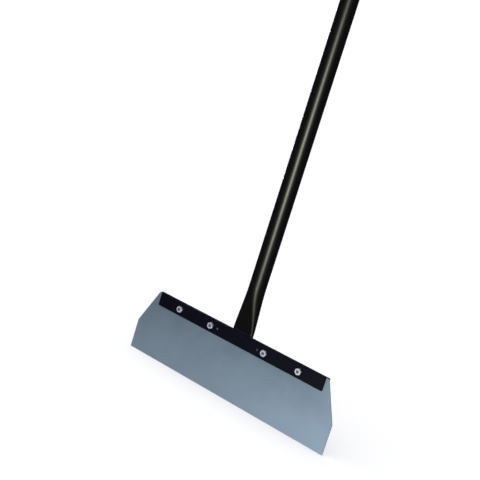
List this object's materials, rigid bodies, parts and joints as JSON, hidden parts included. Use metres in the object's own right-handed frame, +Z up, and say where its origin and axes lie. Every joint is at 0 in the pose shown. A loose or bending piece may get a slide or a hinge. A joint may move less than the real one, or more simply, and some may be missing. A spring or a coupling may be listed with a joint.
{
  "type": "long-handled flat-blade smoother",
  "caption": "Long-handled flat steel blade for smoothing and scraping floors and screeds, clamped by bolts between two bars on a tubular handle with a soft grip.",
  "frame": {"origin": "centre of the blade's working edge, halfway through the blade's thickness", "axes": "+Z up along the handle, +X along the blade, the bolt heads and the front clamp bar face -Y"},
  "size_m": [0.4572, 0.0429, 1.524],
  "materials": {
    "blade_steel": "satin rolled sheet, fine scratches along the blade",
    "black_coat": "glossy black powder coat with slight orange peel",
    "zinc_plate": "bright zinc plating",
    "pin_steel": "dull grey pin ends with worn coating",
    "nylon": "matt blue nylon",
    "grip_vinyl": "soft matt black vinyl"
  },
  "bodies": {
    "root": {"back_bar": "black_coat", "blade": "blade_steel", "bolt_1": "zinc_plate", "bolt_2": "zinc_plate", "bolt_3": "zinc_plate", "bolt_4": "zinc_plate", "front_bar": "black_coat", "hand_grip": "grip_vinyl", "handle_tube": "black_coat", "locating_pin_left": "pin_steel", "locating_pin_right": "pin_steel", "lock_nut_1": "zinc_plate", "lock_nut_2": "zinc_plate", "lock_nut_3": "zinc_plate", "lock_nut_4": "zinc_plate", "nut_insert_1": "nylon", "nut_insert_2": "nylon", "nut_insert_3": "nylon", "nut_insert_4": "nylon", "washer_1": "zinc_plate", "washer_2": "zinc_plate", "washer_3": "zinc_plate", "washer_4": "zinc_plate", "weld_foot": "black_coat", "weld_left": "black_coat", "weld_right": "black_coat", "weld_top": "black_coat"}
  },
  "joints": []
}
